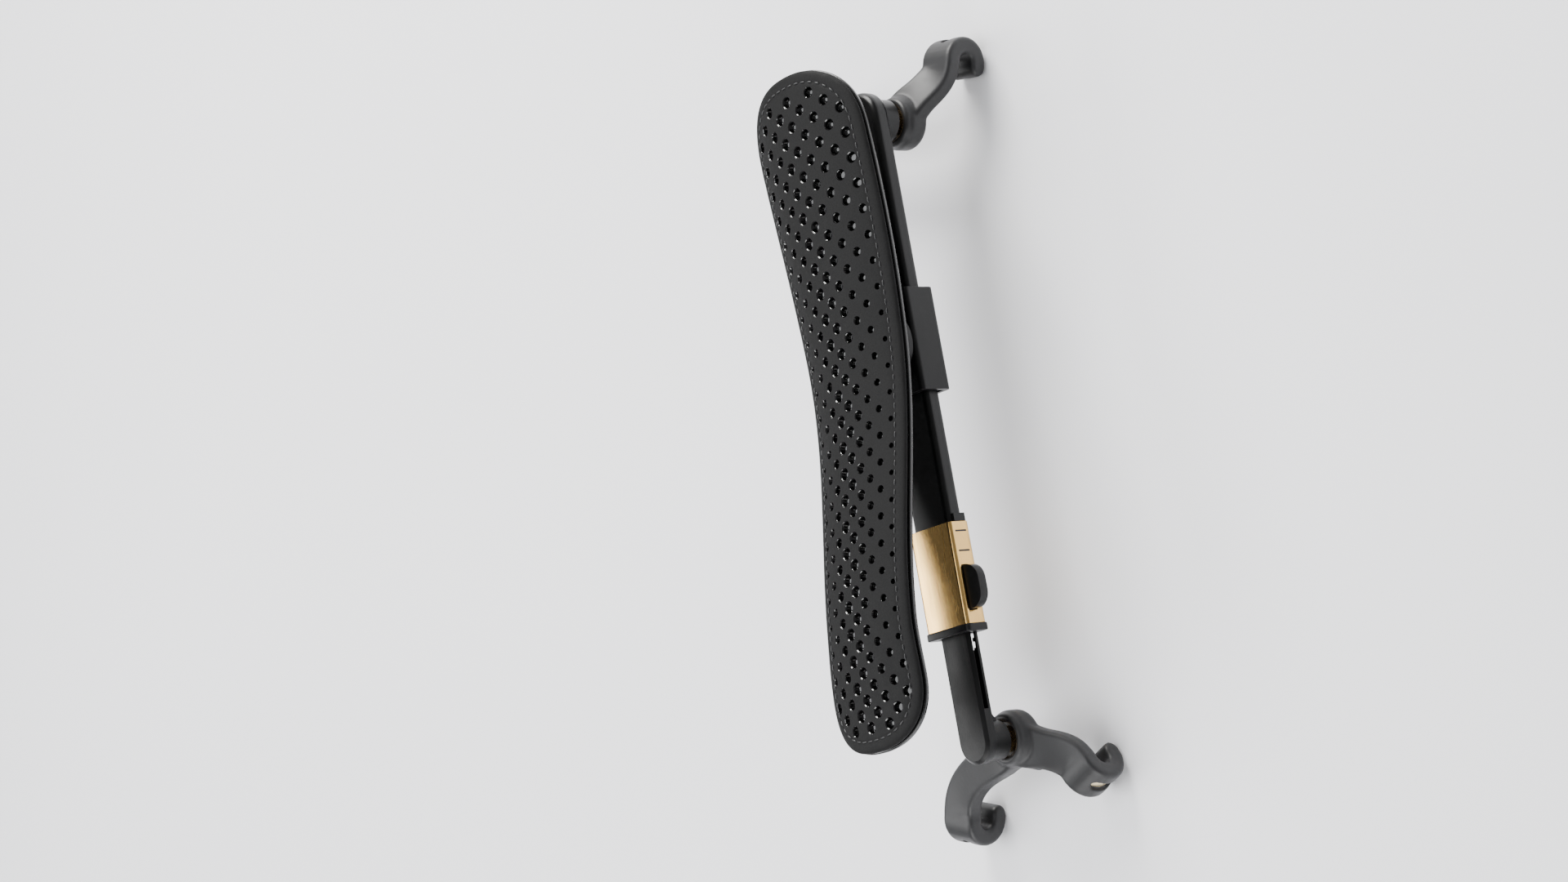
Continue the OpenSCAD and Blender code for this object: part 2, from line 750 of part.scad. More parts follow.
// Screws that hold the plate to the head, driven from below
module head_screws() {
    color(steel) at_head_screws() {
        translate([0, 0, head_screw_low_z - 0.9]) cylinder(r = head_screw_head_r, h = 0.9);
        translate([0, 0, head_screw_low_z - 0.1])
            cylinder(r = head_screw_r, h = head_screw_top_z - head_screw_low_z + 0.1);
    }
}

module pad_plate() {
    color(black) difference() {
        pad_layer(4, 5, 0);
        at_head_screws() translate([0, 0, head_z0])
            cylinder(r = head_screw_r, h = head_screw_top_z + fit - head_z0);
    }
}

module pad_foam() {
    color([0.05, 0.05, 0.05]) pad_layer(2, 3, 0.8);
}

module pad_leather() {
    color([0.12, 0.12, 0.13]) pad_layer(0, 1, 0.4);
}

main_bar();
upper_insert();
brass_sleeve();
sleeve_liner();
sleeve_end_cap();
lock_button();
lock_pawl();
button_springs();
extension_arm();
arm_stop_pin();
lower_insert();
upper_stud();
upper_fork_core();
upper_fork_grip();
upper_fork_clip();
lower_stud();
lower_fork_core();
lower_fork_grip();
lower_fork_clip();
slider_clamp();
clamp_liner();
clamp_screw();
pivot_pin();
pivot_washer();
swivel_head();
pivot_bush();
head_screws();
pad_plate();
pad_foam();
pad_leather();
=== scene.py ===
"""The looks of a violin shoulder rest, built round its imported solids.

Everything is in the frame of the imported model: +X runs along the bar to the shoulder end, +Y across towards
the instrument's neck, and +Z up from the hooks' lowest point. Prong, Fork and Pad hold their sizes in
millimetres, and every mesh is made in metres.
"""

import logging
import math
from dataclasses import dataclass
from enum import Enum
from functools import cached_property
from typing import Callable, Iterable, Sequence

import bmesh
import bpy
from mathutils import Matrix, Vector


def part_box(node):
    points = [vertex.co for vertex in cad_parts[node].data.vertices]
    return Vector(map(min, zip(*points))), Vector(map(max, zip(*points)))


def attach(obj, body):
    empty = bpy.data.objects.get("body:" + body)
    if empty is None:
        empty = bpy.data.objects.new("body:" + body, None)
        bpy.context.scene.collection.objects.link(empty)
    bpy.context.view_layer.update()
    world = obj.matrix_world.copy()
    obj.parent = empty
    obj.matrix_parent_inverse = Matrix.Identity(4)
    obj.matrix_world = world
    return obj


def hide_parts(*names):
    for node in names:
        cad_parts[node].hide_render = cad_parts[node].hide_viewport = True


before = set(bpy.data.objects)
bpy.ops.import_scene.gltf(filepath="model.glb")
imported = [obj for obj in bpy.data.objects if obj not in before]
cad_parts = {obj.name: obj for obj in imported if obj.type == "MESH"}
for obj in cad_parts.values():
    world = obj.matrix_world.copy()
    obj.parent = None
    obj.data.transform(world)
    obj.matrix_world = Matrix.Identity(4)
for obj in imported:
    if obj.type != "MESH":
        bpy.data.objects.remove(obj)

Depth = float | Callable[[float], float]
LOG = logging.getLogger("shoulder_rest")
MM = 0.001
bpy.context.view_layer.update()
Colour = tuple[float, float, float]


def hub_axis(node: str) -> Vector:
    """The upright axis through a round CAD node, at height 0."""
    low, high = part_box(node)
    return Vector(((low.x + high.x) / 2, (low.y + high.y) / 2, 0))


UPPER = hub_axis("upper_stud")
LOWER = hub_axis("lower_stud")


def ease(v: float) -> float:
    """A smooth step from 0 to 1."""
    return (1 - math.cos(math.pi * min(1.0, max(0.0, v)))) / 2


def blend(a: float, b: float, share: float) -> float:
    """The value a share of the way from a to b."""
    return a + (b - a) * share


# ---------------------------------------------------------------- workbench


class Bench:
    """Hands that add, shape and finish meshes with Blender's own operators."""

    @staticmethod
    def clear() -> None:
        """Leaves edit mode with nothing selected."""
        if bpy.context.object and bpy.context.object.mode != "OBJECT":
            bpy.ops.object.mode_set(mode="OBJECT")
        bpy.ops.object.select_all(action="DESELECT")

    @classmethod
    def take(cls, piece: bpy.types.Object) -> bpy.types.Object:
        """Selects one piece alone and makes it active."""
        cls.clear()
        piece.select_set(True)
        bpy.context.view_layer.objects.active = piece
        return piece

    @classmethod
    def named(cls, name: str) -> bpy.types.Object:
        """Names the piece that was just added and puts its place in its mesh."""
        piece = bpy.context.object
        piece.name = piece.data.name = name
        cls.take(piece)
        bpy.ops.object.transform_apply(location=True, rotation=True, scale=True)
        return piece

    @classmethod
    def rod(cls, name: str, middle: float, radius: float, length: float, sides: int = 48) -> bpy.types.Object:
        """An upright cylinder on the Z axis, centred at a height, as a cutting tool. Sizes in millimetres."""
        cls.clear()
        bpy.ops.mesh.primitive_cylinder_add(vertices=sides, radius=radius * MM, depth=length * MM,
                                            location=(0, 0, middle * MM))
        return cls.named(name)

    @classmethod
    def edit(cls, piece: bpy.types.Object, mode: str = "FACE") -> bmesh.types.BMesh:
        """Opens a piece in edit mode with nothing selected."""
        cls.take(piece)
        bpy.ops.object.mode_set(mode="EDIT")
        bpy.ops.mesh.select_mode(type=mode)
        bpy.ops.mesh.select_all(action="DESELECT")
        return bmesh.from_edit_mesh(piece.data)

    @classmethod
    def modify(cls, piece: bpy.types.Object, kind: str, **settings: object) -> bpy.types.Object:
        """Adds a modifier with its settings and applies it.

        Args:
            piece: the piece to change.
            kind: the modifier's type.
            settings: the modifier's own options.

        Returns:
            The piece.
        """
        cls.take(piece)
        modifier = piece.modifiers.new(kind.title(), kind)
        for key, value in settings.items():
            setattr(modifier, key, value)
        bpy.ops.object.modifier_apply(modifier=modifier.name)
        return piece

    @classmethod
    def cut(cls, piece: bpy.types.Object, tool: bpy.types.Object, keep: bool = False) -> bpy.types.Object:
        """Cuts a piece with a tool.

        Args:
            piece: the piece to cut.
            tool: the closed mesh that is taken away.
            keep: whether the tool is needed again.

        Returns:
            The piece.
        """
        cls.modify(piece, "BOOLEAN", object=tool, operation="DIFFERENCE", solver="EXACT",
                   material_mode="TRANSFER")
        if not keep:
            bpy.data.objects.remove(tool)
        return piece

    @classmethod
    def join(cls, name: str, pieces: Iterable[bpy.types.Object]) -> bpy.types.Object:
        """Joins several pieces into one mesh."""
        pieces = list(pieces)
        cls.take(pieces[0])
        for piece in pieces:
            piece.select_set(True)
        bpy.ops.object.join()
        return cls.named(name)

    @classmethod
    def tidy(cls, piece: bpy.types.Object, gap: float = 1e-6, sliver: float = 1e-7) -> bpy.types.Object:
        """Merges doubled points, removes slivers of faces, and turns every face outwards.

        Args:
            piece: the piece to clean.
            gap: how near two points are merged.
            sliver: how thin a face is removed.

        Returns:
            The piece.
        """
        cls.edit(piece, "VERT")
        bpy.ops.mesh.select_all(action="SELECT")
        bpy.ops.mesh.remove_doubles(threshold=gap)
        bpy.ops.mesh.dissolve_degenerate(threshold=sliver)
        bpy.ops.mesh.select_all(action="SELECT")
        bpy.ops.mesh.normals_make_consistent(inside=False)
        cls.clear()
        return piece

    @classmethod
    def shade(cls, piece: bpy.types.Object, degrees: float = 35) -> bpy.types.Object:
        """Smooth shading, with edges sharper than an angle left sharp."""
        cls.take(piece)
        bpy.ops.object.shade_smooth_by_angle(angle=math.radians(degrees))
        return piece

    @classmethod
    def loft(cls, name: str, rings: Sequence[Sequence[Sequence[float]]],
             capped: bool = True) -> bpy.types.Object:
        """Shapes a grid into a tube through rings of points.

        Args:
            name: the piece's name.
            rings: the stations, each with the same number of points, in order round the ring.
            capped: whether the two open ends are filled.

        Returns:
            The closed piece, with its faces outwards.
        """
        around = len(rings[0])
        cls.clear()
        bpy.ops.mesh.primitive_grid_add(x_subdivisions=around, y_subdivisions=len(rings) - 1, size=1)
        piece = cls.named(name)
        places = [ring[i % around] for ring in rings for i in range(around + 1)]
        assert len(places) == len(piece.data.vertices), f"{name}: the grid and the rings differ"
        for vertex, place in zip(piece.data.vertices, places):
            vertex.co = place
        cls.edit(piece, "VERT")
        bpy.ops.mesh.select_all(action="SELECT")
        bpy.ops.mesh.remove_doubles(threshold=1e-6)
        if capped:
            bpy.ops.mesh.select_all(action="SELECT")
            bpy.ops.mesh.fill_holes(sides=0)
        return cls.tidy(piece)

    @classmethod
    def turned(cls, name: str, profile: Sequence[tuple[float, float]], sides: int = 64,
               capped: bool = True) -> bpy.types.Object:
        """Turns a profile about the Z axis.

        Args:
            name: the piece's name.
            profile: points of (radius, height), in millimetres.
            sides: how many steps go round.
            capped: whether the two ends are filled.

        Returns:
            The closed piece.
        """
        steps = [math.tau * i / sides for i in range(sides)]
        rings = [[(r * MM * math.cos(a), r * MM * math.sin(a), z * MM) for a in steps] for r, z in profile]
        return cls.loft(name, rings, capped)

    @classmethod
    def scatter(cls, name: str, pattern: bpy.types.Object, places: Iterable[Matrix]) -> bpy.types.Object:
        """Repeats a small pattern piece at many places.

        Args:
            name: the joined piece's name.
            pattern: the small piece, which is used up.
            places: where each copy goes.

        Returns:
            All the copies as one piece.
        """
        copies = []
        for place in places:
            copy = bpy.data.objects.new(name, pattern.data.copy())
            bpy.context.scene.collection.objects.link(copy)
            copy.data.transform(place)
            copies.append(copy)
        bpy.data.objects.remove(pattern)
        return cls.join(name, copies)

    @classmethod
    def copy_of(cls, node: str, name: str) -> bpy.types.Object:
        """A merged copy of a CAD node, with its flat faces whole again.

        Args:
            node: the CAD node's name.
            name: the copy's name.

        Returns:
            The copy, with no material.
        """
        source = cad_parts[node]
        piece = bpy.data.objects.new(name, source.data.copy())
        bpy.context.scene.collection.objects.link(piece)
        piece.data.materials.clear()
        cls.tidy(piece, 2e-6)
        cls.edit(piece, "FACE")
        bpy.ops.mesh.select_all(action="SELECT")
        bpy.ops.mesh.dissolve_limited(angle_limit=math.radians(0.8))
        cls.clear()
        return piece

    @classmethod
    def softened(cls, node: str, name: str, width: float) -> bpy.types.Object:
        """A copy of a CAD node with its sharp edges rounded.

        Args:
            node: the CAD node's name.
            name: the copy's name.
            width: how far each rounding reaches, in metres.

        Returns:
            The rounded copy.
        """
        piece = cls.copy_of(node, name)
        cls.modify(piece, "BEVEL", width=width, segments=3, limit_method="ANGLE",
                   angle_limit=math.radians(40), miter_outer="MITER_ARC", use_clamp_overlap=True)
        return cls.shade(piece)


# ---------------------------------------------------------------- shader kit


class Wire:
    """A socket in a material, on which sums can be written."""

    def __init__(self, recipe: "Recipe", socket: bpy.types.NodeSocket) -> None:
        """Keeps the socket and the recipe that it belongs to."""
        self.recipe = recipe
        self.socket = socket

    def _sum(self, operation: str, first: object, second: object) -> "Wire":
        """A Math node on two values."""
        return self.recipe.node("ShaderNodeMath", {"operation": operation}, {0: first, 1: second})

    def __add__(self, other: object) -> "Wire":
        """self + other."""
        return self._sum("ADD", self, other)

    __radd__ = __add__

    def __sub__(self, other: object) -> "Wire":
        """self - other."""
        return self._sum("SUBTRACT", self, other)

    def __rsub__(self, other: object) -> "Wire":
        """other - self."""
        return self._sum("SUBTRACT", other, self)

    def __mul__(self, other: object) -> "Wire":
        """self * other."""
        return self._sum("MULTIPLY", self, other)

    __rmul__ = __mul__

    def below(self, limit: object) -> "Wire":
        """1 where the value is under a limit."""
        return self._sum("LESS_THAN", self, limit)

    def apart(self, place: float) -> "Wire":
        """The distance of the value from a place."""
        return self.recipe.node("ShaderNodeMath", {"operation": "ABSOLUTE"}, {0: self - place})

    def spread(self, low: float, high: float, to_low: float = 0.0, to_high: float = 1.0) -> "Wire":
        """The value carried smoothly from one range to another.

        Args:
            low: where the first range starts.
            high: where it ends.
            to_low: where the second range starts.
            to_high: where it ends.

        Returns:
            The value in the second range.
        """
        sockets = {"Value": self, "From Min": low, "From Max": high, "To Min": to_low, "To Max": to_high}
        return self.recipe.node("ShaderNodeMapRange", {"interpolation_type": "SMOOTHSTEP"}, sockets)


class Recipe:
    """A material being mixed from nodes."""

    def __init__(self, name: str) -> None:
        """Starts a material with one Principled shader."""
        self.material = bpy.data.materials.new(name)
        self.material.use_nodes = True
        self.tree = self.material.node_tree
        self.shader = next(n for n in self.tree.nodes if n.type == "BSDF_PRINCIPLED")

    def node(self, kind: str, settings: dict | None = None, sockets: dict | None = None,
             output: int | str = 0) -> Wire:
        """Adds one node.

        Args:
            kind: the node's type.
            settings: its own options, set before anything is joined to it.
            sockets: a value or a wire for each input that is used, by name or number.
            output: which output the wire leaves from.

        Returns:
            The wire that leaves the node.
        """
        node = self.tree.nodes.new(kind)
        for key, value in (settings or {}).items():
            setattr(node, key, value)
        for key, value in (sockets or {}).items():
            self.join(value, node.inputs[key])
        return Wire(self, node.outputs[output])

    def join(self, value: object, socket: bpy.types.NodeSocket) -> None:
        """Gives a socket a wire or a plain value."""
        if isinstance(value, Wire):
            self.tree.links.new(value.socket, socket)
        else:
            socket.default_value = value

    def place(self) -> Wire:
        """The place on the piece, in metres."""
        return self.node("ShaderNodeTexCoord", output="Object")

    def axis(self, letter: str) -> Wire:
        """One coordinate of the place on the piece."""
        return self.node("ShaderNodeSeparateXYZ", None, {"Vector": self.place()}, letter)

    def stretched(self, scale: tuple[float, float, float]) -> Wire:
        """The place, stretched by a factor along each axis."""
        return self.node("ShaderNodeMapping", None, {"Vector": self.place(), "Scale": scale})

    def noise(self, per_metre: float, detail: float = 3.0, rough: float = 0.55,
              where: Wire | None = None) -> Wire:
        """Cloudy noise from 0 to 1."""
        sockets = {"Vector": where or self.place(), "Scale": per_metre, "Detail": detail, "Roughness": rough}
        return self.node("ShaderNodeTexNoise", None, sockets)

    def cells(self, per_metre: float, where: Wire | None = None) -> Wire:
        """Distance from the middle of the nearest cell."""
        return self.node("ShaderNodeTexVoronoi", None, {"Vector": where or self.place(), "Scale": per_metre})

    def shades(self, share: Wire, dark: Colour, light: Colour) -> Wire:
        """A colour between two, by a share."""
        sockets = {"Factor": share, 6: (*dark, 1.0), 7: (*light, 1.0)}
        return self.node("ShaderNodeMix", {"data_type": "RGBA"}, sockets, 2)

    def bump(self, height: Wire, strength: float, distance: float, under: Wire | None = None) -> Wire:
        """A bump from a height, on top of another bump if there is one."""
        sockets: dict = {"Height": height, "Strength": strength, "Distance": distance}
        if under:
            sockets["Normal"] = under
        return self.node("ShaderNodeBump", None, sockets)

    def finish(self, **sockets: object) -> bpy.types.Material:
        """Joins the shader's sockets, named with _ for a space, and gives the material."""
        for key, value in sockets.items():
            self.join(value, self.shader.inputs[key.replace("_", " ")])
        return self.material


# ---------------------------------------------------------------- finishes


@dataclass(frozen=True)
class Moulded:
    """Black moulded plastic or soft rubber with a fine grain."""

    name: str
    tone: float = 0.016
    rough: float = 0.42
    grain: float = 2200.0
    depth: float = 0.06
    shine: float = 0.4

    def make(self) -> bpy.types.Material:
        """Mixes the material."""
        r = Recipe(self.name)
        cloud = r.noise(90, 3)
        fine = r.noise(self.grain, 2, 0.6)
        dust = r.noise(520, 4, 0.7).spread(0.56, 0.78)
        dark = (self.tone * 0.82, self.tone * 0.82, self.tone * 0.86)
        light = (self.tone * 1.25, self.tone * 1.25, self.tone * 1.32)
        return r.finish(
            Base_Color=r.shades(cloud * 0.6 + fine * 0.4, dark, light),
            Roughness=cloud.spread(0.3, 0.7, self.rough - 0.05, self.rough + 0.05) + dust * 0.05,
            Normal=r.bump(fine, self.depth, 0.00012),
            Specular_IOR_Level=self.shine,
        )


@dataclass(frozen=True)
class Metal:
    """Bare metal with a fine drawn grain along X, or turned grain round an upright axis."""

    name: str
    tone: Colour = (0.80, 0.56, 0.25)
    rough: float = 0.24
    grain: tuple[float, float, float] = (120.0, 6000.0, 6000.0)

    def make(self) -> bpy.types.Material:
        """Mixes the material."""
        r = Recipe(self.name)
        lines = r.noise(1.0, 3, 0.6, r.stretched(self.grain))
        cloud = r.noise(140, 3)
        dark = tuple(c * 0.86 for c in self.tone)
        return r.finish(
            Base_Color=r.shades(cloud.spread(0.3, 0.7), dark, self.tone),
            Metallic=1.0,
            Roughness=lines.spread(0.25, 0.75, self.rough - 0.06, self.rough + 0.08) + cloud * 0.04,
            Normal=r.bump(lines, 0.05, 0.00006),
        )


@dataclass(frozen=True)
class SleeveBrass:
    """Satin brass with two short index lines painted on the tail side."""

    name: str = "sleeve_brass"
    tone: Colour = (0.83, 0.53, 0.19)
    lines_at: tuple[float, float] = (-2.5, -7.8)
    line_width: float = 0.5

    def make(self) -> bpy.types.Material:
        """Mixes the material."""
        r = Recipe(self.name)
        low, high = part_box("brass_sleeve")
        drawn = r.noise(1.0, 4, 0.65, r.stretched((90.0, 5200.0, 5200.0)))
        cloud = r.noise(110, 3)
        side = r.axis("Y").below(low.y + 0.35 * MM)
        tall = r.axis("Z").apart((low.z + high.z) / 2).below(1.9 * MM)
        half = self.line_width / 2 * MM
        first, second = (r.axis("X").apart(high.x + x * MM).below(half) for x in self.lines_at)
        paint = (first + second) * side * tall
        warm = r.shades(cloud.spread(0.3, 0.7), tuple(c * 0.88 for c in self.tone), self.tone)
        sockets = {"Factor": paint, 6: warm, 7: (0.01, 0.01, 0.01, 1)}
        painted = r.node("ShaderNodeMix", {"data_type": "RGBA"}, sockets, 2)
        return r.finish(
            Base_Color=painted,
            Metallic=1 - paint,
            Roughness=drawn.spread(0.25, 0.75, 0.17, 0.29) + paint * 0.3,
            Normal=r.bump(drawn, 0.05, 0.00005),
        )


@dataclass(frozen=True)
class Hide:
    """Matte black leather with a brushed nap and fine pores."""

    name: str = "punched_leather"
    tone: float = 0.0045

    def make(self) -> bpy.types.Material:
        """Mixes the material."""
        r = Recipe(self.name)
        mottle = r.noise(260, 5, 0.65)
        nap = r.noise(2400, 4, 0.7)
        pores = r.cells(1500).spread(0.0, 0.42)
        creases = r.cells(420, r.noise(300, 2)).spread(0.0, 0.5)
        shade = mottle * 0.6 + nap * 0.4
        dark = (self.tone * 0.55,) * 3
        light = (self.tone * 1.65, self.tone * 1.65, self.tone * 1.7)
        under = r.bump(nap, 0.35, 0.00012)
        return r.finish(
            Base_Color=r.shades(shade.spread(0.3, 0.7), dark, light),
            Roughness=mottle.spread(0.3, 0.7, 0.58, 0.74),
            Normal=r.bump(pores * 0.7 + creases * 0.3, 0.16, 0.00012, under),
            Specular_IOR_Level=0.14,
        )


@dataclass(frozen=True)
class Lacquer:
    """Glossy black, as on the layer under the punched leather."""

    name: str
    tone: float = 0.011
    rough: float = 0.14
    coat: float = 0.5

    def make(self) -> bpy.types.Material:
        """Mixes the material."""
        r = Recipe(self.name)
        cloud = r.noise(240, 3)
        return r.finish(
            Base_Color=r.shades(cloud, (self.tone * 0.7,) * 3, (self.tone * 1.4,) * 3),
            Roughness=cloud.spread(0.3, 0.7, self.rough, self.rough + 0.08),
            Normal=r.bump(r.noise(900, 2), 0.06, 0.0001),
            Coat_Weight=self.coat,
            Coat_Roughness=0.08,
        )


@dataclass(frozen=True)
class Floor:
    """Plain pale studio floor."""

    name: str = "floor_finish"

    def make(self) -> bpy.types.Material:
        """Mixes the material."""
        r = Recipe(self.name)
        cloud = r.noise(3, 2)
        return r.finish(
            Base_Color=r.shades(cloud, (0.80, 0.80, 0.82), (0.83, 0.83, 0.85)),
            Roughness=cloud.spread(0.3, 0.7, 0.55, 0.62),
        )


class Finish(Enum):
    """Every finish on the object. Each is mixed once."""

    BAR = Moulded("bar_black", 0.0022, 0.34, 2600.0, 0.05, 0.30)
    ARM = Moulded("arm_black", 0.0036, 0.42, 1900.0, 0.25, 0.22)
    CLAMP = Moulded("clamp_black", 0.0026, 0.38, 2400.0, 0.05, 0.28)
    GRIP = Moulded("soft_grip", 0.017, 0.46, 2900.0, 0.12, 0.34)
    CAP = Moulded("cap_black", 0.003, 0.38, 2400.0, 0.06, 0.28)
    BUTTON = Moulded("button_black", 0.002, 0.32, 2400.0, 0.05, 0.28)
    NYLON = Moulded("nylon_grey", 0.030, 0.5, 1500.0, 0.05)
    THREAD = Moulded("thread_grey", 0.016, 0.42, 4200.0, 0.5)
    PLATE = Lacquer("plate_black", 0.003, 0.24, 0.15)
    GLOSS = Lacquer("gloss_layer", 0.002, 0.12, 0.35)
    HIDE = Hide()
    SLEEVE = SleeveBrass()
    BRASS = Metal("turned_brass", (0.84, 0.60, 0.30), 0.20, (2600.0, 2600.0, 9000.0))
    GILT = Metal("gilt_metal", (0.86, 0.72, 0.46), 0.28, (400.0, 400.0, 400.0))
    DARK_STEEL = Metal("blackened_steel", (0.035, 0.035, 0.037), 0.35, (1200.0, 1200.0, 7000.0))
    STEEL = Metal("bright_steel", (0.55, 0.55, 0.57), 0.26, (1200.0, 1200.0, 7000.0))
    FLOOR = Floor()

    def material(self) -> bpy.types.Material:
        """The finish's material, mixed the first time that it is asked for."""
        return bpy.data.materials.get(self.value.name) or self.value.make()

    def dress(self, piece: bpy.types.Object) -> bpy.types.Object:
        """Gives a whole piece this finish."""
        piece.data.materials.clear()
        piece.data.materials.append(self.material())
        return piece


def fit_out(piece: bpy.types.Object, body: str, replaced: Sequence[str] = ()) -> None:
    """Rides a finished piece on a body, hides the CAD nodes that it stands for, and logs its face count.

    Args:
        piece: the finished piece.
        body: the CAD body that it rides on.
        replaced: the CAD nodes that it stands for.
    """
    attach(piece, body)
    if replaced:
        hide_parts(*replaced)
    LOG.info("%s rides on %s, %d faces", piece.name, body, len(piece.data.polygons))


# ---------------------------------------------------------------- bar, sleeve, arm and clamp


@dataclass
class BarParts:
    """The bar, the brass sleeve with its lock, the telescoping arm and the sliding clamp."""

    cap_edge: float = 0.3 * MM
    button_edge: float = 0.28 * MM
    clamp_edge: float = 0.35 * MM
    arm_edge: float = 0.16 * MM
    sleeve_edge: float = 0.18 * MM

    def rounded(self, node: str, name: str, width: float, finish: Finish, body: str) -> None:
        """Makes a CAD node again with rounded edges, and dresses it.

        Args:
            node: the CAD node that the piece stands for.
            name: the new piece's name.
            width: how far each rounding reaches, in metres.
            finish: what the piece is dressed in.
            body: the CAD body that it rides on.
        """
        piece = Bench.softened(node, name, width)
        finish.dress(piece)
        fit_out(piece, body, [node])

    def build(self) -> None:
        """Builds each piece."""
        self.rounded("sleeve_end_cap", "end_cap_rounded", self.cap_edge, Finish.CAP, "bar")
        self.rounded("lock_button", "lock_button_rounded", self.button_edge, Finish.BUTTON, "lock")
        self.rounded("slider_clamp", "clamp_rounded", self.clamp_edge, Finish.CLAMP, "carriage")
        self.rounded("extension_arm", "arm_rounded", self.arm_edge, Finish.ARM, "arm")
        self.rounded("brass_sleeve", "sleeve_rounded", self.sleeve_edge, Finish.SLEEVE, "bar")


# ---------------------------------------------------------------- forks


@dataclass
class Prong:
    """One prong of a fork, from the hub to its hook, in the fork's own frame. Sizes in millimetres."""

    grip: tuple[float, float]
    face: float
    nose_r: float = 7.1
    nose_n: float = -1.2
    gap_r: float = 2.3
    jaw_len: float = 1.8
    lip_r: float = 2.35
    lip_end: float = -4.85
    corner: float = 1.25
    root_z: float = 18.5
    sides: int = 6
    steps: int = 22
    hook_wide: float = 11.5
    lip_wide: float = 10.5
    core_inset: float = 2.6
    slot_deep: float = 5.9

    def section(self, at: Vector, along: Vector, across: Vector, width: float, thick: float) -> list[Vector]:
        """A rounded rectangle square to the path, at one station.

        Args:
            at: the middle of the station.
            along: the way that the path runs.
            across: the way that the width runs.
            width: the rectangle's width.
            thick: its height.

        Returns:
            The ring of points, in metres.
        """
        up = across.cross(along).normalized()
        r = min(self.corner, thick / 2 - 0.01, width / 2 - 0.01)
        ring = []
        for cx, cy, start in ((1, 1, 0), (-1, 1, 90), (-1, -1, 180), (1, -1, 270)):
            for k in range(self.sides + 1):
                a = math.radians(start + 90 * k / self.sides)
                u = cx * (width / 2 - r) + r * math.cos(a)
                v = cy * (thick / 2 - r) + r * math.sin(a)
                ring.append((at + across * u + up * v) * MM)
        return ring

    def path(self) -> list[tuple[Vector, float, float]]:
        """Points along the middle of the prong and round its hook, each with a width and a thickness."""
        out = Vector((math.cos(math.radians(self.face)), math.sin(math.radians(self.face)), 0))
        wall = Vector((*self.grip, 0))
        away = wall.normalized()
        middle_r = (self.nose_r + self.gap_r) / 2
        thick = self.nose_r - self.gap_r
        top_z, low_z = self.nose_r + middle_r, self.nose_r - middle_r
        start, end = away * 1.5, wall - out * self.jaw_len
        reach = (end - start).length
        first, second = start + away * reach * 0.34, end - out * reach * 0.36
        stations = []
        for i in range(self.steps + 1):
            t = i / self.steps
            plan = start * (1 - t) ** 3 + end * t ** 3 + (first * (1 - t) + second * t) * 3 * t * (1 - t)
            slope = min(1.0, max(0.0, (plan.length - 3.5) / (end.length - 3.5)))
            z = blend(self.root_z, top_z, blend(slope, ease(slope), 0.45))
            width = blend(blend(12.6, 10.4, ease(t / 0.5)), 11.3, ease((t - 0.4) / 0.6))
            stations.append((Vector((plan.x, plan.y, z)), width, blend(5.4, thick, ease(t * 1.1))))
        stations.append((wall - out * self.jaw_len * 0.88 + Vector((0, 0, top_z)), self.hook_wide, thick))
        for i in range(15):
            a = math.radians(90 - 180 * i / 14)
            n, z = self.nose_n + middle_r * math.cos(a), self.nose_r + middle_r * math.sin(a)
            stations.append((wall + out * n + Vector((0, 0, z)), self.hook_wide - 0.9 * i / 14, thick))
        straight = self.lip_end + self.lip_r
        for share in (0.5, 1.0):
            n = blend(self.nose_n, straight, share)
            stations.append((wall + out * n + Vector((0, 0, low_z)), self.lip_wide, thick - 0.05))
        for angle in (25, 45, 62, 76, 86):
            n = straight - self.lip_r * math.sin(math.radians(angle))
            size = 2 * self.lip_r * math.cos(math.radians(angle))
            wide = self.lip_wide - 1.6 * (1 - math.cos(math.radians(angle)))
            stations.append((wall + out * n + Vector((0, 0, low_z)), wide, size))
        return stations

    def mesh(self, name: str, core: bool = False) -> bpy.types.Object:
        """Lofts the prong with its hook, or the thin metal core inside it.

        Args:
            name: the piece's name.
            core: whether it is the core, which stops short of the lip.

        Returns:
            The closed piece.
        """
        stations, rings = self.path(), []
        if core:
            stations = [(at, width - self.core_inset, blend(1.3, 2.6, ease((i - 16) / 8)))
                        for i, (at, width, _) in enumerate(stations[:-12])]
        for i, (at, width, thick) in enumerate(stations):
            before, after = stations[max(0, i - 1)][0], stations[min(len(stations) - 1, i + 1)][0]
            along = (after - before).normalized()
            if i > self.steps - 2:
                a = math.radians(self.face)
                across = Vector((-math.sin(a), math.cos(a), 0))
            else:
                across = Vector((-along.y, along.x, 0)).normalized()
            rings.append(self.section(at, along, across, width, thick))
        return Bench.loft(name, rings)

    def level(self, reach: float) -> float:
        """Height of the prong's middle at a distance from the hub's axis."""
        return min((abs(at.xy.length - reach), at.z) for at, _, _ in self.path()[:self.steps])[1]

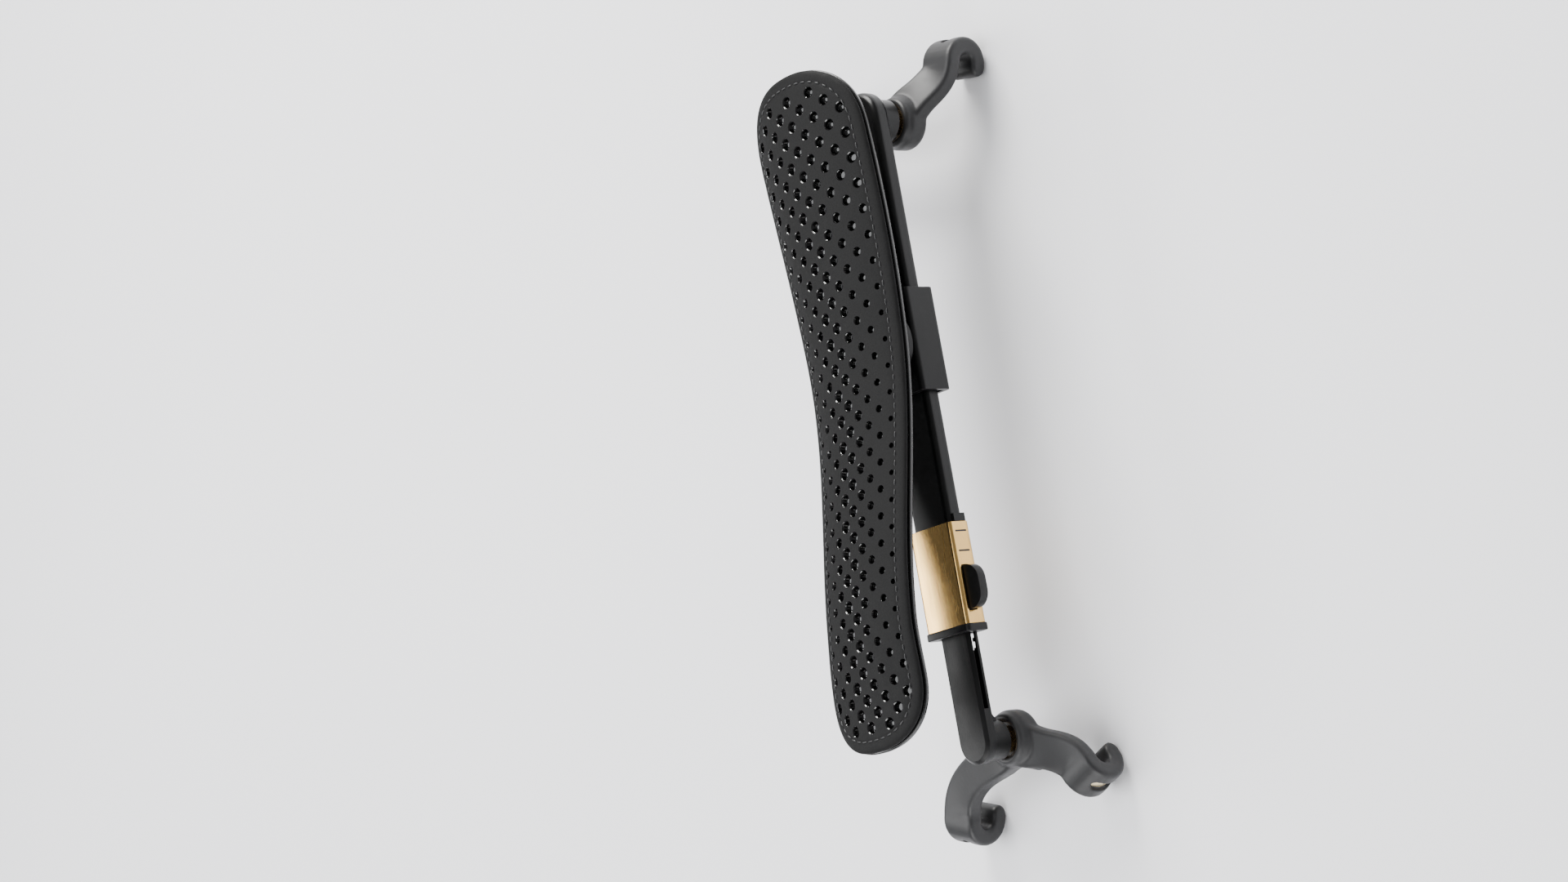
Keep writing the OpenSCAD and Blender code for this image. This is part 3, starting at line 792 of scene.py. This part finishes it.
    def window(self, name: str) -> bpy.types.Object:
        """The tool that cuts the slot round the nose, down to the metal core."""
        outside = self.nose_r + 2.4
        widths = ((-42, 0.9), (-40, 2.0), (-36, 2.9), (-30, 3.2), (-16, 3.2), (-3, 3.2), (10, 3.2), (22, 3.2),
                  (28, 2.9), (32, 2.0), (34, 0.9))
        rings = []
        for degrees, wide in widths:
            a = math.radians(degrees)
            corners = ((self.slot_deep, 1), (outside, 1), (outside, -1), (self.slot_deep, -1))
            out, up = math.cos(a), math.sin(a)
            rings.append([Vector((self.nose_n + r * out, side * wide / 2, self.nose_r + r * up)) * MM
                          for r, side in corners])
        tool = Bench.loft(name, rings)
        turn = Matrix.Rotation(math.radians(self.face), 4, "Z")
        tool.data.transform(Matrix.Translation((self.grip[0] * MM, self.grip[1] * MM, 0)) @ turn)
        return tool


@dataclass
class Fork:
    """A soft fork on its leg: a hub with a raised ring, and two prongs with hooks. Sizes in millimetres."""

    name: str
    node: str
    body: str
    hub: Vector
    turn: float
    mirrored: bool
    voxel: float = 0.32
    soften: int = 6
    crotch_r: float = 10.0
    half_prong: float = 5.0
    ring_top: float = 23.2
    recess_r: float = 4.9
    bore_r: float = 2.7
    ring_low: float = 17.7
    ring_high: float = 19.0
    ring_r: float = 5.4

    def hub_mesh(self) -> bpy.types.Object:
        """The hub: a short boss with a raised ring round its recess."""
        profile = [(0.0, 15.4), (5.8, 15.4), (7.0, 15.9), (7.5, 17.0), (7.55, 20.6), (7.2, 21.2),
                   (6.95, 21.6), (6.8, 22.4), (6.3, 23.0), (5.6, self.ring_top), (5.0, 22.9), (4.6, 22.2),
                   (0.0, 22.2)]
        return Bench.turned(f"{self.name}_hub", profile)

    def web(self, prongs: Sequence[Prong]) -> bpy.types.Object:
        """The rounded crotch between the two prongs.

        Args:
            prongs: the fork's prongs.

        Returns:
            A closed plate that ends in an arc, which meets the inner edge of each prong.
        """
        low, high = (math.atan2(p.grip[1], p.grip[0]) for p in prongs)
        middle, spread = (low + high) / 2, (high - low) / 2
        reach = (self.crotch_r + self.half_prong) / math.sin(spread)
        centre = Vector((math.cos(middle), math.sin(middle))) * reach
        plan = [Vector((0, 0))]
        sweep = math.pi / 2 - spread
        for i in range(17):
            a = middle + math.pi + blend(sweep, -sweep, i / 16)
            plan.append(centre + Vector((math.cos(a), math.sin(a))) * self.crotch_r)
        rings = []
        for side in (-2.0, 2.0):
            levels = [blend(*(prong.level(p.length) for prong in prongs), ease((i - 1) / 16))
                      for i, p in enumerate(plan)]
            rings.append([(p.x * MM, p.y * MM, (level + side) * MM) for p, level in zip(plan, levels)])
        return Bench.loft(f"{self.name}_web", rings)

    def place(self, piece: bpy.types.Object) -> None:
        """Mirrors a piece for the other end of the bar, turns it and sets it on the leg's axis."""
        if self.mirrored:
            piece.data.transform(Matrix.Scale(-1, 4, (1, 0, 0)))
            Bench.tidy(piece)
        turn = Matrix.Rotation(math.radians(self.turn), 4, "Z")
        piece.data.transform(Matrix.Translation(self.hub) @ turn)

    def core(self, prongs: Sequence[Prong]) -> None:
        """The thin metal core, which shows in the slots."""
        corners = [(self.bore_r, self.ring_low), (self.ring_r, self.ring_low), (self.ring_r, self.ring_high),
                   (self.bore_r, self.ring_high), (self.bore_r, self.ring_low)]
        hub = Bench.turned("core_hub", corners, 48, False)
        strips = [prong.mesh(f"{self.name}_core_{i}", True) for i, prong in enumerate(prongs)]
        piece = Bench.join(f"{self.name}_core", strips)
        Bench.cut(piece, Bench.rod("core_bore", 18, self.bore_r, 12))
        piece = Bench.join(f"{self.name}_core", [piece, hub])
        self.place(piece)
        Finish.GILT.dress(piece)
        Bench.shade(piece, 40)
        fit_out(piece, self.body, [self.node.replace("grip", "core")])

    def build(self) -> None:
        """Builds the fork's cover and puts it on its leg."""
        prongs = [Prong((11.6, -15.2), -24.7), Prong((18.8, 34.4), 15.5)]
        self.core(prongs)
        pieces = [prong.mesh(f"{self.name}_prong_{i}") for i, prong in enumerate(prongs)]
        piece = Bench.join(self.name, [self.hub_mesh(), self.web(prongs), *pieces])
        Bench.modify(piece, "REMESH", mode="VOXEL", voxel_size=self.voxel * MM)
        Bench.modify(piece, "SMOOTH", factor=0.5, iterations=self.soften)
        for i, prong in enumerate(prongs):
            Bench.cut(piece, prong.window(f"{self.name}_window_{i}"))
        Bench.cut(piece, Bench.rod("recess", self.ring_top, self.recess_r, 4, 64))
        Bench.cut(piece, Bench.rod("bore", 19, self.bore_r, 20))
        Bench.cut(piece, Bench.rod("clip_room", 15, self.recess_r, 4.9, 64))
        Bench.modify(piece, "REMESH", mode="VOXEL", voxel_size=self.voxel * MM)
        Bench.modify(piece, "SMOOTH", factor=0.5, iterations=4)
        self.place(piece)
        Bench.shade(piece, 60)
        Finish.GRIP.dress(piece)
        fit_out(piece, self.body, [self.node])


# ---------------------------------------------------------------- pad


@dataclass
class Pad:
    """The padded plate: punched and stitched leather over a glossy layer and a moulded plate.

    Sizes are in millimetres. Places on the pad are given as if it were straight, and surface() bows it.
    """

    count: int = 260
    low_x: float = UPPER.x / MM - 61.2
    chest_x: float = UPPER.x / MM - 150.5
    top_z: float = 49.8
    rise: float = 10.5
    crown: float = 0.0098
    width: tuple[float, float] = (45.6, 35.2)
    ends: tuple[float, float] = (17.0, 21.0)
    power: float = 2.4
    chest_end: float = UPPER.x / MM - 169.3
    shoulder_end: float = UPPER.x / MM + 14.2
    bend: float = 2.2
    y: float = UPPER.y / MM + 5.6
    spread: float = 0.757
    stitch_in: float = 3.2
    stitch_pitch: float = 2.5
    leather: float = 1.4
    hole_pitch: float = 7.05
    hole_sizes: tuple[float, ...] = (1.5, 2.1, 2.5, 3.1, 2.9, 2.6, 2.0, 1.75, 1.3)
    swell: float = 0.45
    sliver: float = 0.008 * MM

    def mid_z(self, x: float) -> float:
        """Height of the surface on the pad's middle line."""
        return (self.top_z + self.rise * ease((self.low_x - x) / (self.low_x - self.chest_x))
                + 2.3 * ease((x - self.low_x) / 75))

    def half(self, x: float) -> float:
        """Half of the pad's width, with its rounded ends."""
        wide, slim = self.width
        flare = 2 * ease((self.chest_x + 16 - x) / 20)
        full = wide - (wide - slim) * ease((UPPER.x / MM - 6 - x) / 124) + flare
        chest, shoulder = self.ends
        u = max((self.chest_end + chest - x) / chest, (x - self.shoulder_end + shoulder) / shoulder, 0)
        return full / 2 * max(0.0, 1 - min(1.0, u) ** self.power) ** (1 / self.power)

    def foot(self, x: float) -> tuple[float, float]:
        """The point of the middle line that a place on the pad is measured from."""
        chest, shoulder = self.ends
        return min(max(x, self.chest_end + chest), self.shoulder_end - shoulder), self.y

    def bow(self, x: float) -> float:
        """How far the pad curves away from its middle line, towards its ends."""
        middle, reach = (self.chest_end + self.shoulder_end) / 2, (self.shoulder_end - self.chest_end) / 2
        return self.bend * ((x - middle) / reach) ** 2

    def surface(self, x: float, y: float, deep: float = 0.0) -> Vector:
        """A point at a depth under the pad's upper surface.

        Args:
            x: the place along the pad.
            y: the place across it.
            deep: how far under the surface.

        Returns:
            The point, in metres.
        """
        slope = 2 * self.crown * (y - self.y)
        tip = Vector((-(self.mid_z(x + 0.5) - self.mid_z(x - 0.5)), slope, 1)).normalized()
        top = Vector((x, y + self.bow(x), self.mid_z(x) - self.crown * (y - self.y) ** 2))
        return (top - tip * deep) * MM

    def normal(self, x: float, y: float) -> Vector:
        """The way out of the pad's upper surface."""
        return (self.surface(x, y) - self.surface(x, y, 1.0)).normalized()

    def outline(self, inset: float, count: int) -> list[tuple[float, float]]:
        """Evenly spaced points round the pad.

        Args:
            inset: how far inside the pad's edge they lie.
            count: how many there are.

        Returns:
            The points, as places on the straight pad.
        """
        fine = []
        steps = 700
        middle, reach = (self.chest_end + self.shoulder_end) / 2, (self.shoulder_end - self.chest_end) / 2
        for i in range(steps + 1):
            x = middle - math.cos(math.pi * i / steps) * reach
            fine.append((x, self.y + self.half(x)))
        fine += [(x, 2 * self.y - y) for x, y in reversed(fine[1:-1])]
        moved = []
        for x, y in fine:
            foot = self.foot(x)
            reach = math.hypot(x - foot[0], y - foot[1])
            share = max(0.0, 1 - inset / reach)
            moved.append((foot[0] + (x - foot[0]) * share, foot[1] + (y - foot[1]) * share))
        total = [0.0]
        for a, b in zip(moved, moved[1:] + moved[:1]):
            total.append(total[-1] + math.dist(a, b))
        points, j = [], 0
        for i in range(count):
            want = total[-1] * i / count
            while total[j + 1] < want:
                j += 1
            share = (want - total[j]) / max(1e-9, total[j + 1] - total[j])
            a, b = moved[j], moved[(j + 1) % len(moved)]
            points.append((blend(a[0], b[0], share), blend(a[1], b[1], share)))
        return points

    def shell(self, name: str, profile: Sequence[tuple[float, Depth]], inset: float) -> bpy.types.Object:
        """A closed plate.

        Args:
            name: the piece's name.
            profile: stations from the middle of the upper face round the edge to the middle of the lower
                face. Each has a distance inside the edge, or 100 and a share of the way to the middle, and a
                depth, or a rule that gives the depth from the share of the way to the edge.
            inset: how far the whole plate stays inside the pad's edge.

        Returns:
            The plate.
        """
        edge = self.outline(inset, self.count)
        rings = []
        for step, deep in profile:
            ring = []
            for x, y in edge:
                foot = self.foot(x)
                reach = math.hypot(x - foot[0], y - foot[1])
                share = 1 - (step - 100) if step > 90 else max(0.0, 1 - step / reach)
                px, py = foot[0] + (x - foot[0]) * share, foot[1] + (y - foot[1]) * share
                ring.append(self.surface(px, py, deep(share) if callable(deep) else deep))
            rings.append(ring)
        return Bench.loft(name, rings, capped=False)

    def holes(self) -> list[tuple[float, float, float]]:
        """Each punched hole: its place and its radius."""
        pitch, found = self.hole_pitch, []
        middle = len(self.hole_sizes) // 2
        for column, size in enumerate(self.hole_sizes):
            u = (middle - column) / middle
            first = self.shoulder_end - 7.5 - (column % 2) * pitch / 2
            for row in range(40):
                x = first - pitch * row
                near = max(ease((x - 20) / 60), ease((-48 - x) / 26))
                radius = blend(size, max(size, 2.75), near) / 2
                held = min(max(x, self.chest_end + 20), self.shoulder_end - 22)
                y = self.y + u * self.spread * self.half(held)
                on_pad = self.chest_end + 3 < x < self.shoulder_end - 3
                if on_pad and self.inside(x, y) > self.stitch_in + radius - 0.1:
                    found.append((x, y, radius))
        return found

    def punch(self) -> bpy.types.Object:
        """One tool with a rounded pin for each hole."""
        places = []
        for x, y, radius in self.holes():
            turn = self.normal(x, y).to_track_quat("Z", "Y").to_matrix().to_4x4()
            size = Matrix.Diagonal((radius, radius, 1, 1))
            places.append(Matrix.Translation(self.surface(x, y)) @ turn @ size)
        profile = [(0.0, 0.5), (1.22, 0.5), (1.16, 0.0), (1.0, -0.22), (0.98, -1.25), (0.72, -1.72),
                   (0.0, -1.95)]
        pin = Bench.turned("pin", profile, 16)
        tool = Bench.scatter("punch", pin, places)
        Finish.GLOSS.dress(tool)
        return tool

    def puff(self, piece: bpy.types.Object) -> None:
        """Lets the leather swell between its stitches, as cloth under a light pressure.

        Args:
            piece: the leather, before its holes are punched.
        """
        rest = [v.co.copy() for v in piece.data.vertices]
        pinned = piece.vertex_groups.new(name="pinned")
        for v in piece.data.vertices:
            x = v.co.x / MM
            y = v.co.y / MM - self.bow(x)
            deep = (self.surface(x, y) - v.co).dot(self.normal(x, y)) / MM
            held = deep > 0.6 or self.inside(x, y) < self.stitch_in + 0.3
            pinned.add([v.index], 1.0 if held else 0.0, "REPLACE")
        Bench.take(piece)
        cloth = piece.modifiers.new("Cloth", "CLOTH")
        cloth.settings.vertex_group_mass = "pinned"
        cloth.settings.quality = 5
        cloth.settings.mass = 0.2
        cloth.settings.tension_stiffness = cloth.settings.compression_stiffness = 40
        cloth.settings.bending_stiffness = 4
        cloth.settings.use_pressure = True
        cloth.settings.uniform_pressure_force = 4
        cloth.settings.effector_weights.gravity = 0
        cloth.collision_settings.use_self_collision = False
        scene = bpy.context.scene
        scene.frame_start, scene.frame_end = 1, 20
        for number in range(1, 21):
            scene.frame_set(number)
        Bench.take(piece)
        bpy.ops.object.modifier_apply(modifier=cloth.name)
        scene.frame_set(1)
        for v, was in zip(piece.data.vertices, rest):
            move = v.co - was
            if move.length > self.swell * MM:
                v.co = was + move.normalized() * self.swell * MM
        piece.vertex_groups.clear()

    def inside(self, x: float, y: float) -> float:
        """How far a place is inside the pad's edge."""
        return min(math.dist((x, y), point) for point in self.rim)

    @cached_property
    def rim(self) -> list[tuple[float, float]]:
        """The pad's own outline."""
        return self.outline(0.0, 480)

    def under(self, extra: float) -> Callable[[float], float]:
        """A rule for the depth of the plate under the leather, which is thicker towards its middle line."""
        return lambda share: extra + 0.3 + 2.1 * (1 - share * share)

    def hide(self, tool: bpy.types.Object) -> None:
        """The leather, with its groove, its swelling and its holes. The tool is kept."""
        shares = (101.0, 100.93, 100.84, 100.75, 100.66, 100.57, 100.48, 100.39, 100.31)
        groove = self.stitch_in
        rolled = [(groove + 0.9, 0.0), (groove + 0.35, 0.08), (groove, 0.2), (groove - 0.35, 0.08),
                  (groove - 0.9, 0.02), (1.6, 0.05), (1.0, 0.12), (0.55, 0.24), (0.22, 0.45), (0.04, 0.7),
                  (0.0, 0.95), (0.08, 1.2), (0.3, self.leather)]
        back = [(step, self.leather) for step in (2.0, 4.2, 100.5, 101.0)]
        hide = self.shell("pad_leather_cover", [(step, 0.0) for step in shares] + rolled + back, 0.35)
        self.puff(hide)
        Finish.HIDE.dress(hide)
        hide.data.materials.append(Finish.GLOSS.material())
        Bench.cut(hide, tool, keep=True)
        Bench.modify(hide, "TRIANGULATE")
        Bench.tidy(hide, self.sliver, self.sliver)
        Bench.shade(hide, 40)
        fit_out(hide, "pad", ["pad_leather"])

    def layer(self, tool: bpy.types.Object) -> None:
        """The glossy layer that shows in the leather's holes, and as a thin band at its edge."""
        top = [(step, 1.46) for step in (101.0, 100.75, 100.5, 100.3, 4)]
        edge = [(1.2, 1.48), (0.3, 1.5), (0.0, 1.62), (0.1, self.under(1.45))]
        back = [(step, self.under(1.5)) for step in (2, 100.4, 100.7, 101.0)]
        layer = self.shell("pad_gloss_layer", top + edge + back, 0.9)
        Finish.GLOSS.dress(layer)
        Bench.cut(layer, tool)
        Bench.shade(layer, 40)
        fit_out(layer, "pad", ["pad_foam"])

    def plate(self) -> None:
        """The moulded plate, with a rounded rim."""
        top = [(step, self.under(1.6)) for step in (101.0, 100.7, 100.4, 4, 0.9)]
        rim = [(step, self.under(1.6 + deep)) for step, deep in (
            (0.35, 0.05), (0.08, 0.25), (0.0, 0.6), (0.0, 1.1), (0.1, 1.45), (0.4, 1.7))]
        back = [(step, self.under(3.4)) for step in (0.9, 4, 100.4, 100.7, 101.0)]
        plate = self.shell("pad_plate_moulded", top + rim + back, 0.0)
        Finish.PLATE.dress(plate)
        Bench.shade(plate, 50)
        fit_out(plate, "pad", ["pad_plate"])

    def stitching(self) -> None:
        """A row of stitches set into the leather, inside its edge."""
        around = self.outline(self.stitch_in + 0.3, 1200)
        length = sum(math.dist(a, b) for a, b in zip(around, around[1:] + around[:1]))
        count = round(length / self.stitch_pitch)
        places = self.outline(self.stitch_in + 0.3, count)
        spots = []
        for i, (x, y) in enumerate(places):
            nx, ny = places[(i + 1) % count]
            along = (self.surface(nx, ny) - self.surface(x, y)).normalized()
            across = self.normal(x, y).cross(along).normalized()
            turn = Matrix((along, across, along.cross(across))).transposed().to_4x4()
            spots.append(Matrix.Translation(self.surface(x, y)) @ turn)
        profile = ((0.16, 0.03, -0.2), (0.2, 0.13, -0.12), (0.34, 0.19, -0.04), (0.5, 0.21, -0.01),
                   (0.66, 0.19, -0.04), (0.8, 0.13, -0.12), (0.84, 0.03, -0.2))
        rings = [[(s * self.stitch_pitch * MM, r * math.cos(math.tau * k / 6) * MM,
                   (lift + r * math.sin(math.tau * k / 6)) * MM) for k in range(6)] for s, r, lift in profile]
        thread = Bench.scatter("pad_stitching", Bench.loft("stitch", rings), spots)
        Bench.shade(thread, 60)
        Finish.THREAD.dress(thread)
        fit_out(thread, "pad")

    def build(self) -> None:
        """Builds the pad's pieces."""
        tool = self.punch()
        self.hide(tool)
        self.layer(tool)
        self.plate()
        self.stitching()


# ---------------------------------------------------------------- CAD nodes that show as they are


class Carried:
    """CAD nodes whose shape is right: each gets its finish."""

    def build(self) -> None:
        """Dresses the nodes."""
        finishes = {
            Finish.BAR: ["main_bar"],
            Finish.NYLON: ["sleeve_liner", "clamp_liner"],
            Finish.DARK_STEEL: ["lock_pawl", "arm_stop_pin"],
            Finish.STEEL: ["button_springs", "upper_fork_clip", "lower_fork_clip", "pivot_pin",
                           "pivot_washer", "head_screws"],
            Finish.BRASS: ["upper_insert", "lower_insert", "upper_stud", "lower_stud", "clamp_screw",
                           "pivot_bush"],
            Finish.CLAMP: ["swivel_head"],
        }
        for finish, nodes in finishes.items():
            for name in nodes:
                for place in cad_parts[name].material_slots:
                    place.material = finish.material()
                LOG.info("%s gets %s", name, finish.value.name)


# ---------------------------------------------------------------- studio


@dataclass
class Studio:
    """A plain floor, soft lights and the camera."""

    eye: Colour = (-0.1272, -0.5655, 0.5281)
    ahead: Colour = (0.1744, 0.7649, -0.6202)
    head: Colour = (0.9704, -0.2402, -0.0235)
    lens: float = 65.27

    def camera(self) -> None:
        """Sets the camera."""
        data = bpy.data.cameras.new("camera")
        data.lens, data.sensor_width = self.lens, 36
        data.clip_start, data.clip_end = 0.01, 20
        camera = bpy.data.objects.new("camera", data)
        bpy.context.scene.collection.objects.link(camera)
        ahead = Vector(self.ahead).normalized()
        right = ahead.cross(Vector(self.head)).normalized()
        up = right.cross(ahead)
        camera.matrix_world = Matrix.Translation(self.eye) @ Matrix((right, up, -ahead)).transposed().to_4x4()
        bpy.context.scene.camera = camera

    def lamp(self, name: str, at: Colour, size: tuple[float, float], watts: float,
             tint: Colour = (1.0, 1.0, 1.0)) -> None:
        """A soft rectangular light that faces the object.

        Args:
            name: the light's name.
            at: where it hangs.
            size: its two sides.
            watts: how bright it is.
            tint: its colour.
        """
        data = bpy.data.lights.new(name, "AREA")
        data.shape, data.size, data.size_y = "RECTANGLE", *size
        data.energy, data.color = watts, tint
        light = bpy.data.objects.new(name, data)
        bpy.context.scene.collection.objects.link(light)
        aim = Vector((0, 0, 0.03)) - Vector(at)
        light.matrix_world = Matrix.Translation(at) @ aim.to_track_quat("-Z", "Y").to_matrix().to_4x4()

    def build(self) -> None:
        """Lays the floor and hangs the lights."""
        Bench.clear()
        bpy.ops.mesh.primitive_plane_add(size=6, location=(0, 0, -0.0002))
        floor = Bench.named("floor")
        Finish.FLOOR.dress(floor)
        world = bpy.data.worlds.new("studio")
        world.use_nodes = True
        shade = world.node_tree.nodes["Background"].inputs
        shade["Color"].default_value, shade["Strength"].default_value = (0.93, 0.94, 0.96, 1), 0.3
        bpy.context.scene.world = world
        self.lamp("key", (1.0, 0.05, 0.55), (0.6, 0.6), 30, (1.0, 0.99, 0.97))
        self.lamp("bounce", (-1.0, -0.15, 0.4), (1.0, 0.5), 12)
        self.lamp("side", (-0.05, 0.85, 0.75), (0.9, 0.35), 8)
        self.lamp("sky", (0.0, 0.25, 1.7), (1.6, 1.6), 40, (0.97, 0.98, 1.0))
        self.camera()


# ---------------------------------------------------------------- main


def main() -> None:
    """Builds the object's looks in order."""
    logging.basicConfig(level=logging.INFO, format="%(name)s: %(message)s")
    Studio().build()
    Carried().build()
    BarParts().build()
    Fork("upper_fork_cover", "upper_fork_grip", "upper_fork", UPPER, 11.9, False).build()
    Fork("lower_fork_cover", "lower_fork_grip", "lower_fork", LOWER, 0.0, True).build()
    Pad().build()


if __name__ == "__main__":
    main()
